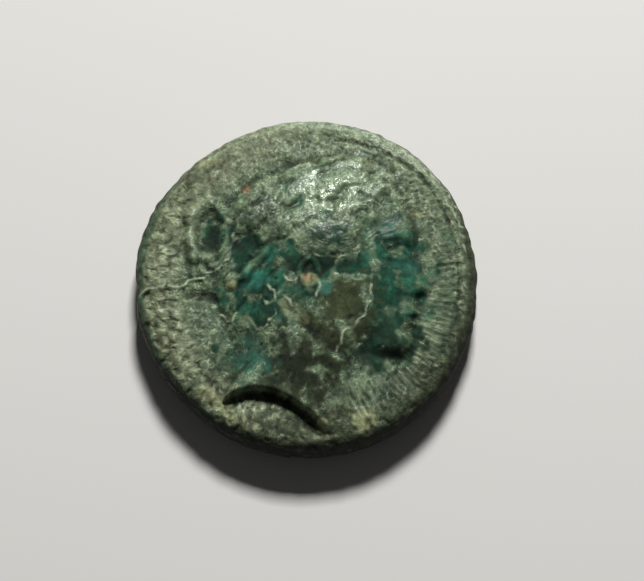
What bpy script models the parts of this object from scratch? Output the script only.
"""An ancient struck bronze coin, lying on its reverse with the head side up.

The part is one thick, dumpy flan with a slightly irregular outline and a barrel-shaped
edge. The upper face carries a young head in profile that looks towards +X, with short
thick locks, a ribbon looped behind the head, and a neck cut off in a hollow curve. The
lower face is dished, with a worn horse inside a worn, flat border.

Sizes are in millimetres until the mesh is written in metres. +Z is up, +Y is the top of
the head, and the origin is on the table, under the middle of the coin.
"""

import math

import bpy
import numpy as np

MM = 0.001

# The flan.
BELLY_RADIUS = 8.6
FACE_INSET = 0.42
EDGE_LOW = 0.16
EDGE_HIGH = 2.9
EDGE_RINGS = 4
FIELD_HEIGHT = 3.02
FIELD_DISH = 0.08
SHOULDER_WIDTH = 0.9
# Where the outline swells or sinks: direction and half-width in degrees, amount in mm.
SWELLS = (
    (45, 24, 0.16),
    (118, 22, -0.12),
    (163, 15, 0.12),
    (181, 3, -0.1),
    (222, 20, -0.12),
    (292, 26, 0.06),
)

# The meshes: cells along each side of the square grid that is rounded into a disc.
UPPER_CELLS = 56
LOWER_CELLS = UPPER_CELLS // 2
CURVE_STEPS = 6
# Points this near the head's outline are moved onto it, and those a little inside the
# neck's cut onto its upper edge, so that both edges run clean.
SNAP_REACH = 0.17

# The head side. The face is in equal thirds: hairline to brow, to nose, to chin.
CHIN_Y = -3.95
FACE_THIRD = 3.05
NOSE_BASE_Y = CHIN_Y + FACE_THIRD
BROW_Y = NOSE_BASE_Y + FACE_THIRD
EYE_Y = BROW_Y - 0.28 * FACE_THIRD
EAR = (0.15, 0.1)
# The head rises by a step at its outline, bold at the face and soft behind, then as a dome.
HEAD_RISE = 0.9
FACE_STEP = 0.34
SOFT_STEP = 0.08
STEP_SLOPE = 0.6
HEAD_SLOPE = 4.4
# The neck is cut off in a steep edge, which ends before the throat, over a sunk field.
CUT_RISE = 0.74
CUT_SLOPE = 0.35
CUT_REACH = 3.6
CUT_SINK = 0.24
CUT_END = 1.7
JAW_SHADE = 0.26
HAIR_RISE = 0.08
RIBBON_WIDTH = 0.6
RIBBON_RISE = 0.36

# The lower face.
BORDER_INNER = 5.9
BORDER_OUTER = 7.3
LOWER_DISH = 0.22
HORSE_RISE = 0.34

PROFILE = (
    (4.75, BROW_Y + 0.85 * FACE_THIRD),
    (5.25, BROW_Y + 0.5 * FACE_THIRD),
    (5.5, BROW_Y + 0.05 * FACE_THIRD),
    (5.42, BROW_Y - 0.22 * FACE_THIRD),
    (5.85, NOSE_BASE_Y + 0.5 * FACE_THIRD),
    (6.3, NOSE_BASE_Y + 0.2 * FACE_THIRD),
    (6.12, NOSE_BASE_Y + 0.04 * FACE_THIRD),
    (5.6, NOSE_BASE_Y - 0.03 * FACE_THIRD),
    (5.8, NOSE_BASE_Y - 0.26 * FACE_THIRD),
    (5.5, NOSE_BASE_Y - 0.35 * FACE_THIRD),
    (5.66, NOSE_BASE_Y - 0.45 * FACE_THIRD),
    (5.25, NOSE_BASE_Y - 0.57 * FACE_THIRD),
    (5.38, NOSE_BASE_Y - 0.78 * FACE_THIRD),
    (4.9, CHIN_Y + 0.08),
    (4.0, CHIN_Y),
)
THROAT = ((2.85, -3.65), (2.3, -4.5), (2.2, -5.8), (2.8, -7.9))
CUT = (
    (2.8, -7.9),
    (1.5, -7.8),
    (0.8, -7.5),
    (0.05, -6.8),
    (-0.8, -6.2),
    (-1.7, -5.8),
    (-2.85, -5.7),
    (-4.2, -6.15),
)
NAPE = ((-4.2, -6.15), (-3.8, -5.0), (-3.7, -3.6), (-4.0, -2.2), (-4.6, -0.8))
HAIR_EDGE = (
    (-4.6, 0.6),
    (-4.5, 2.4),
    (-4.0, 3.9),
    (-3.0, 5.0),
    (-1.6, 5.75),
    (-0.2, 6.3),
    (1.4, 6.7),
    (3.0, 6.45),
    (4.3, 5.75),
)
HAIRLINE = (
    (4.75, 5.0),
    (4.0, 4.1),
    (3.2, 3.35),
    (2.7, 2.4),
    (2.1, 1.25),
    (1.0, 1.0),
    (-0.1, 1.1),
    (-0.75, 0.5),
    (-1.0, -0.6),
    (-1.5, -1.9),
    (-2.6, -2.7),
    (-3.8, -2.6),
)
# The shaded hollow under the jaw, where the neck sinks back towards the throat.
JAW_HOLLOW = (
    (-1.2, -0.9),
    (0.5, -1.7),
    (1.7, -3.0),
    (3.0, -3.95),
    (2.9, -4.9),
    (0.8, -3.9),
    (-1.0, -2.7),
)
# Soft masses of the head: centre, size, rise and turn in degrees.
MASSES = (
    ((1.0, 3.0), (2.9, 2.2), 0.12, 8),
    ((0.7, 0.5), (1.8, 0.42), -0.2, 3),
    ((4.3, 3.3), (1.3, 0.5), -0.12, 35),
    ((-3.0, 1.75), (0.95, 0.85), -0.34, -40),
    ((-2.3, -1.25), (0.6, 0.65), -0.12, 0),
    ((-4.5, -3.6), (1.2, 1.6), -0.1, 0),
)
# The thick locks of the crown, back to front: root, lean in degrees, length, width and rise.
LOCKS = (
    ((-4.0, 3.0), 70, 1.2, 0.8, 0.12),
    ((-3.3, 3.8), 48, 1.5, 0.9, 0.14),
    ((-2.7, 4.2), 72, 1.4, 0.95, 0.16),
    ((-1.9, 4.9), 30, 1.5, 0.8, 0.1),
    ((1.2, 5.5), 24, 1.7, 0.7, 0.08),
    ((2.3, 5.25), 36, 1.6, 0.8, 0.1),
    ((3.3, 5.0), 24, 1.4, 0.8, 0.12),
    ((-3.4, 2.6), 64, 1.3, 0.85, 0.12),
    ((-2.7, 2.9), 48, 1.5, 0.9, 0.18),
    ((-1.7, 3.1), 88, 1.7, 1.1, 0.22),
    ((-1.0, 4.1), 58, 2.3, 1.6, 0.26),
    ((0.1, 3.6), 84, 1.7, 0.9, 0.2),
    ((0.75, 4.3), 42, 1.9, 1.4, 0.3),
    ((2.1, 4.2), 64, 1.4, 1.0, 0.2),
    ((2.9, 4.3), 28, 1.5, 0.9, 0.18),
    ((-2.3, 2.0), 38, 1.6, 0.8, 0.14),
    ((-1.3, 2.3), 62, 1.4, 0.85, 0.12),
    ((-0.4, 2.9), 40, 1.6, 1.0, 0.14),
    ((0.75, 3.1), 76, 1.4, 0.85, 0.12),
    ((1.45, 3.2), 44, 1.6, 0.95, 0.16),
    ((2.4, 3.5), 26, 1.6, 0.7, 0.18),
    ((3.2, 3.9), 44, 1.7, 0.6, 0.16),
)


def smooth_curve(points, closed=False):
    """Return a Catmull-Rom curve through the points, as an array of x, y rows."""
    points = np.array(points, float)
    if closed:
        padded = np.vstack([points[-1:], points, points[:2]])
    else:
        padded = np.vstack([points[:1], points, points[-1:]])
    a, b, c, d = padded[:-3], padded[1:-2], padded[2:-1], padded[3:]
    steps = [
        0.5 * (2 * b + (c - a) * t + (2 * a - 5 * b + 4 * c - d) * t**2
               + (3 * b - a - 3 * c + d) * t**3)
        for t in np.arange(CURVE_STEPS) / CURVE_STEPS
    ]
    curve = np.stack(steps, axis=1).reshape(-1, 2)
    return curve if closed else np.vstack([curve, points[-1:]])


def nearest_on(x, y, path):
    """Return the distance to the path, the nearest point's x and y, and its share along."""
    gap = np.full(x.shape, np.inf)
    near_x, near_y, along = np.zeros((3,) + x.shape)
    spans = len(path) - 1
    for i, (start, end) in enumerate(zip(path[:-1], path[1:])):
        run = end - start
        share = ((x - start[0]) * run[0] + (y - start[1]) * run[1]) / max(run @ run, 1e-12)
        share = np.clip(share, 0, 1)
        on_x, on_y = start[0] + share * run[0], start[1] + share * run[1]
        this_gap = np.hypot(x - on_x, y - on_y)
        closer = this_gap < gap
        gap = np.where(closer, this_gap, gap)
        near_x, near_y = np.where(closer, on_x, near_x), np.where(closer, on_y, near_y)
        along = np.where(closer, (i + share) / spans, along)
    return gap, near_x, near_y, along


def depth_inside(x, y, outline):
    """Return how deep each point lies inside the closed outline, and 0 outside it."""
    closed = np.vstack([outline, outline[:1]])
    odd = np.zeros(x.shape, bool)
    for (x0, y0), (x1, y1) in zip(closed[:-1], closed[1:]):
        if y0 == y1:
            continue
        spans = (y0 > y) != (y1 > y)
        odd ^= spans & (x < x0 + (y - y0) * (x1 - x0) / (y1 - y0))
    return np.where(odd, nearest_on(x, y, closed)[0], 0.0)


def ease(value):
    """Return a smooth step from 0 to 1 as the value goes from 0 to 1."""
    value = np.clip(value, 0, 1)
    return value * value * (3 - 2 * value)


def mound(depth, slope):
    """Return a quarter-round rise from 0 at the outline to 1 at the slope's width."""
    return np.sqrt(1 - (1 - np.clip(depth / slope, 0, 1)) ** 2)


def bump(x, y, centre, size, rise, turn=0):
    """Return a soft oval bump, or a hollow where the rise is negative."""
    angle = math.radians(turn)
    dx, dy = x - centre[0], y - centre[1]
    u = (dx * math.cos(angle) + dy * math.sin(angle)) / size[0]
    v = (dy * math.cos(angle) - dx * math.sin(angle)) / size[1]
    return rise * np.exp(-(u * u + v * v))


def ridge(x, y, points, width, rise, tip=1.0):
    """Return a rounded ridge along a curve; tip is the width at its end over its start."""
    gap, _, _, along = nearest_on(x, y, smooth_curve(points))
    half = 0.5 * width * (1 + (tip - 1) * along)
    return rise * np.clip(1 - (gap / half) ** 2, 0, 1)


def belly_radius(angle):
    """Return the flan's radius in each direction, which swells and sinks a little."""
    radius = np.full(angle.shape, BELLY_RADIUS)
    for direction, half_width, amount in SWELLS:
        turn = np.degrees(angle) - direction
        turn = (turn + 180) % 360 - 180
        radius += amount * np.exp(-((turn / half_width) ** 2))
    return radius


def lock_ridge(x, y, root, lean, length, width, rise):
    """Return one lock: a leaf-shaped ridge that bends a little to the right."""
    ahead = np.array([math.cos(math.radians(lean)), math.sin(math.radians(lean))])
    right = np.array([ahead[1], -ahead[0]])
    middle = np.array(root) + 0.5 * length * ahead - 0.03 * length * right
    end = np.array(root) + length * ahead + 0.22 * length * right
    gap, _, _, along = nearest_on(x, y, smooth_curve((root, tuple(middle), tuple(end))))
    half = 0.5 * width * (0.25 + 0.75 * np.sin(math.pi * (0.14 + 0.82 * along)))
    return rise * np.clip(1 - (gap / half) ** 2, 0, 1) ** 0.75


def locks_relief(x, y):
    """Return the crown's locks, which lie over one another, and the strands at the nape."""
    locks = np.zeros(x.shape)
    for root, lean, length, width, rise in LOCKS:
        shape = lock_ridge(x, y, root, lean, length, width, rise)
        locks = np.where(shape > 0, np.maximum(locks, 0.5 * locks + shape), locks)
    nape = ridge(x, y, ((-1.9, 1.5), (-2.3, 1.15), (-3.3, 0.15), (-3.8, -0.3)), 0.5, 0.2)
    return np.maximum(locks, nape)


def face_features(x, y):
    """Return the rises and hollows of the brow, eye, cheek, nose, mouth and jaw."""
    return (
        bump(x, y, (4.8, BROW_Y), (0.9, 0.3), 0.12, 5)
        + bump(x, y, (4.75, EYE_Y + 0.05), (0.85, 0.5), -0.22, -10)
        + bump(x, y, (4.68, EYE_Y), (0.4, 0.27), 0.22, -10)
        + bump(x, y, (3.4, NOSE_BASE_Y + 0.6), (1.3, 1.0), 0.14)
        + bump(x, y, (5.42, NOSE_BASE_Y + 0.28), (0.32, 0.28), 0.13)
        + bump(x, y, (5.9, NOSE_BASE_Y + 0.3), (0.35, 0.3), 0.08)
        + bump(x, y, (5.15, NOSE_BASE_Y - 0.8), (0.55, 0.5), 0.12)
        + bump(x, y, (5.2, NOSE_BASE_Y - 1.02), (0.6, 0.13), -0.12)
        + bump(x, y, (5.1, NOSE_BASE_Y - 1.72), (0.45, 0.2), -0.08)
        + bump(x, y, (4.8, CHIN_Y + 0.7), (0.55, 0.5), 0.13)
        + bump(x, y, (4.6, BROW_Y + 1.1), (0.9, 0.8), 0.06)
        + bump(x, y, (2.2, CHIN_Y + 1.25), (1.5, 0.55), 0.12, 28)
    )


def head_outline():
    """Return the closed outline of the head and neck, with corners at the neck's cut."""
    stretches = (PROFILE + THROAT, CUT, NAPE + HAIR_EDGE + PROFILE[:1])
    return np.vstack([smooth_curve(stretch)[:-1] for stretch in stretches])


def draw_onto_outline(x, y, reach):
    """Return the points, with those within reach of the head's outline moved onto it."""
    outline = head_outline()
    gap, near_x, near_y, _ = nearest_on(x, y, np.vstack([outline, outline[:1]]))
    inner = np.hypot(x, y) < BELLY_RADIUS - FACE_INSET - reach
    close = (gap < reach) & inner
    return np.where(close, near_x, x), np.where(close, near_y, y)


def draw_onto_cut_edge(x, y, reach):
    """Return the points, with those near the upper edge of the neck's cut moved onto it."""
    gap, near_x, near_y, _ = nearest_on(x, y, smooth_curve(CUT))
    depth = depth_inside(x, y, head_outline())
    close = (depth > 0.9 * gap) & (gap > reach) & (gap < CUT_SLOPE + reach) & (x < CUT_END)
    out = CUT_SLOPE / np.maximum(gap, reach)
    return (
        np.where(close, near_x + (x - near_x) * out, x),
        np.where(close, near_y + (y - near_y) * out, y),
    )


def head_body(x, y, depth):
    """Return the plain mass of head and neck at each point, which lies this deep inside."""
    behind = nearest_on(x, y, smooth_curve(PROFILE))[0] - depth
    step = SOFT_STEP + (FACE_STEP - SOFT_STEP) * ease(1 - behind / 0.7)
    mass = step * ease(depth / STEP_SLOPE)
    mass += (HEAD_RISE - step) * np.sin(0.5 * math.pi * np.clip(depth / HEAD_SLOPE, 0, 1))

    # The steep edge where the neck is cut off, and the field sunk below it.
    cut_gap = nearest_on(x, y, smooth_curve(CUT))[0]
    fading = ease((CUT_END - x) / 1.4) * ease((x - CUT[-1][0]) / 1.5)
    near_cut = fading * ease(1 - cut_gap / CUT_REACH) * ease(1 - (cut_gap - depth) / 0.7)
    mass += (CUT_RISE * mound(depth, CUT_SLOPE) - mass) * near_cut
    mass -= CUT_SINK * fading * ease(1 - cut_gap / 1.3) * (1 - ease(depth / 0.3))
    return mass


def head_relief(x, y):
    """Return how far the head and neck stand above the field."""
    depth = depth_inside(x, y, head_outline())
    on_head = ease(depth / 0.3)
    relief = head_body(x, y, depth)
    hollow = smooth_curve(JAW_HOLLOW, closed=True)
    relief -= JAW_SHADE * on_head * ease(depth_inside(x, y, hollow) / 0.9)
    relief += on_head * ridge(x, y, ((-1.7, -1.6), (-0.3, -3.8), (1.3, -6.8)), 1.9, 0.12)
    for centre, size, rise, turn in MASSES:
        relief += on_head * bump(x, y, centre, size, rise, turn)
    relief += on_head * face_features(x, y)

    hair = smooth_curve(HAIRLINE + NAPE[3:] + HAIR_EDGE, closed=True)
    hair_depth = depth_inside(x, y, hair)
    relief += HAIR_RISE * ease(hair_depth / 0.4)
    relief += ease(hair_depth / 0.5) * locks_relief(x, y)
    relief += ridge(x, y, ((EAR[0] + 0.42, EAR[1] + 0.3), (EAR[0] + 0.3, EAR[1] + 0.75),
                           (EAR[0] - 0.05, EAR[1] + 0.85), (EAR[0] - 0.4, EAR[1] + 0.45),
                           (EAR[0] - 0.35, EAR[1] - 0.15), (EAR[0] - 0.05, EAR[1] - 0.7)), 0.5, 0.16)
    return np.maximum(relief, -CUT_SINK) + ribbon_relief(x, y) * (1 - 0.7 * on_head)


def ribbon_relief(x, y):
    """Return the ribbon's loop, its hollow and its falling end behind the head."""
    outer_arm = ((-4.45, 4.0), (-5.15, 3.95), (-5.75, 3.2), (-5.88, 2.2), (-5.6, 1.5), (-5.0, 1.1))
    inner_arm = ((-4.45, 4.0), (-4.05, 3.2), (-4.1, 2.6), (-3.9, 1.9), (-4.1, 1.2), (-4.7, 0.7))
    end = ((-5.0, 1.1), (-5.1, 0.4), (-4.7, -0.3))
    loop = np.maximum(
        ridge(x, y, outer_arm, RIBBON_WIDTH, RIBBON_RISE),
        ridge(x, y, inner_arm, 0.8 * RIBBON_WIDTH, RIBBON_RISE),
    )
    loop = np.maximum(loop, ridge(x, y, end, 0.9 * RIBBON_WIDTH, 0.5 * RIBBON_RISE, 0.3))
    return loop + bump(x, y, (-4.75, 2.35), (0.45, 1.0), -0.16, -25)


def rim_relief(x, y):
    """Return the raised line along the rim, from the top round to the right."""
    line = ((0.9, 7.75), (2.9, 7.4), (4.6, 6.6), (6.1, 5.35), (7.1, 3.9), (7.7, 2.0), (7.9, 0.0))
    return ridge(x, y, line, 0.45, 0.08)


def upper_height(x, y):
    """Return the height of the head side at each point."""
    reach = np.hypot(x, y)
    from_edge = belly_radius(np.arctan2(y, x)) - FACE_INSET - reach
    field = FIELD_HEIGHT + FIELD_DISH * (reach / BELLY_RADIUS) ** 2
    shoulder = 1 - mound(from_edge, SHOULDER_WIDTH)
    relief = (head_relief(x, y) + rim_relief(x, y)) * ease(from_edge / 0.3)
    return field + relief - (field - EDGE_HIGH) * shoulder


def horse_relief(x, y):
    """Return the worn horse, which walks towards +X."""
    shape = ridge(x, y, ((-1.9, 0.2), (0.0, 0.1), (1.5, 0.4)), 2.9, 1.0)
    strokes = (
        (((1.3, 0.6), (2.2, 1.9), (2.7, 2.7)), 1.7, 0.6),
        (((2.6, 2.8), (3.4, 2.4), (3.9, 1.8)), 0.95, 0.7),
        (((1.5, -0.2), (2.4, -1.3), (2.0, -2.3), (2.5, -3.0)), 0.8, 0.7),
        (((1.2, -0.3), (1.2, -1.9), (1.0, -3.4)), 0.8, 0.7),
        (((-1.9, -0.2), (-1.4, -1.5), (-2.1, -2.4), (-1.9, -3.4)), 0.9, 0.6),
        (((-2.3, -0.1), (-2.7, -1.4), (-3.5, -2.2), (-3.5, -3.3)), 0.9, 0.6),
        (((-2.8, 0.8), (-3.7, 0.5), (-4.1, -0.9)), 0.7, 0.6),
    )
    for points, width, tip in strokes:
        shape = np.maximum(shape, ridge(x, y, points, width, 0.75, tip))
    return HORSE_RISE * shape


def lower_height(x, y):
    """Return the height of the lower face, whose worn high parts lie flat on the table."""
    reach = np.hypot(x, y)
    from_edge = belly_radius(np.arctan2(y, x)) - FACE_INSET - reach
    dish = LOWER_DISH * ease((BORDER_INNER - reach) / 1.0)
    rounding = EDGE_LOW * (1 - ease(from_edge / (BELLY_RADIUS - FACE_INSET - BORDER_OUTER)))
    return np.maximum(dish - horse_relief(x, y), 0) + rounding


def disc_grid(cells):
    """Return a square grid rounded into a unit disc: x, y, its cells and its rim in order."""
    line = np.linspace(-1, 1, cells + 1)
    u, v = (a.ravel() for a in np.meshgrid(line, line))
    wide = np.abs(u) > np.abs(v)
    reach = np.where(wide, u, v)
    other = np.where(wide, v, u)
    turn = math.pi / 4 * np.divide(other, reach, out=np.zeros(u.shape), where=reach != 0)
    x = np.where(wide, reach * np.cos(turn), reach * np.sin(turn))
    y = np.where(wide, reach * np.sin(turn), reach * np.cos(turn))

    corner = (np.arange(cells)[:, None] * (cells + 1) + np.arange(cells)).ravel()
    quads = np.stack([corner, corner + 1, corner + cells + 2, corner + cells + 1], axis=1)
    rim = np.flatnonzero(np.maximum(np.abs(u), np.abs(v)) > 1 - 1e-9)
    rim = rim[np.argsort(np.round(np.arctan2(y[rim], x[rim]), 9) % (2 * math.pi))]
    return x, y, quads, rim


def spread_disc(x, y):
    """Return the unit disc's points spread over the flan's own outline."""
    spread = belly_radius(np.arctan2(y, x)) - FACE_INSET
    return x * spread, y * spread


def edge_rings(count):
    """Return the rings of the barrel-shaped edge, from the top down."""
    angle = np.arange(count) * 2 * math.pi / count
    rings = []
    for step in range(1, EDGE_RINGS + 1):
        lean = math.pi * step / (EDGE_RINGS + 1)
        radius = belly_radius(angle) - FACE_INSET * (1 - math.sin(lean))
        height = 0.5 * (EDGE_HIGH + EDGE_LOW) + 0.5 * (EDGE_HIGH - EDGE_LOW) * math.cos(lean)
        ring = [radius * np.cos(angle), radius * np.sin(angle), np.full(count, height)]
        rings.append(np.stack(ring, axis=1))
    return np.concatenate(rings)


def coin_mesh():
    """Return the coin as one closed mesh, in metres."""
    upper_x, upper_y, upper_quads, upper_rim = disc_grid(UPPER_CELLS)
    lower_x, lower_y, lower_quads, lower_rim = disc_grid(LOWER_CELLS)
    upper_x, upper_y = spread_disc(upper_x, upper_y)
    upper_x, upper_y = draw_onto_outline(upper_x, upper_y, SNAP_REACH)
    upper_x, upper_y = draw_onto_cut_edge(upper_x, upper_y, SNAP_REACH)
    lower_x, lower_y = spread_disc(lower_x, lower_y)
    upper = np.stack([upper_x, upper_y, upper_height(upper_x, upper_y)], axis=1)
    lower = np.stack([lower_x, lower_y, lower_height(lower_x, lower_y)], axis=1)
    count = len(upper_rim)
    edge = edge_rings(count)

    edge_start = len(upper)
    lower_start = edge_start + len(edge)
    faces = [tuple(quad) for quad in upper_quads]
    faces += [tuple(quad[::-1] + lower_start) for quad in lower_quads]

    rings = [upper_rim]
    rings += [edge_start + ring * count + np.arange(count) for ring in range(EDGE_RINGS)]
    for above, below in zip(rings[:-1], rings[1:]):
        for i in range(count):
            after = (i + 1) % count
            faces.append((above[i], below[i], below[after], above[after]))

    # The lower face has half as many rim points, so three triangles join each of its spans.
    last = rings[-1]
    rim = lower_rim + lower_start
    for i in range(len(rim)):
        start, middle, end = last[2 * i], last[2 * i + 1], last[(2 * i + 2) % count]
        here, after = rim[i], rim[(i + 1) % len(rim)]
        faces += [(start, here, middle), (middle, here, after), (middle, after, end)]

    mesh = bpy.data.meshes.new("coin")
    points = np.concatenate([upper, edge, lower])
    points[:, :2] -= 0.5 * (points[:, :2].min(axis=0) + points[:, :2].max(axis=0))
    mesh.from_pydata((points * MM).tolist(), [], [[int(i) for i in face] for face in faces])
    mesh.update()
    mesh.shade_smooth()
    return mesh


def bronze_material():
    """Return the green, worn bronze."""
    material = bpy.data.materials.new("patinated_bronze")
    material.use_nodes = True
    shader = material.node_tree.nodes["Principled BSDF"]
    shader.inputs["Base Color"].default_value = (0.13, 0.16, 0.1, 1)
    shader.inputs["Metallic"].default_value = 0.35
    shader.inputs["Roughness"].default_value = 0.5
    return material


def main():
    """Clear the scene and model the coin."""
    for obj in list(bpy.data.objects):
        bpy.data.objects.remove(obj, do_unlink=True)
    mesh = coin_mesh()
    mesh.materials.append(bronze_material())
    coin = bpy.data.objects.new("coin", mesh)
    bpy.context.scene.collection.objects.link(coin)


main()
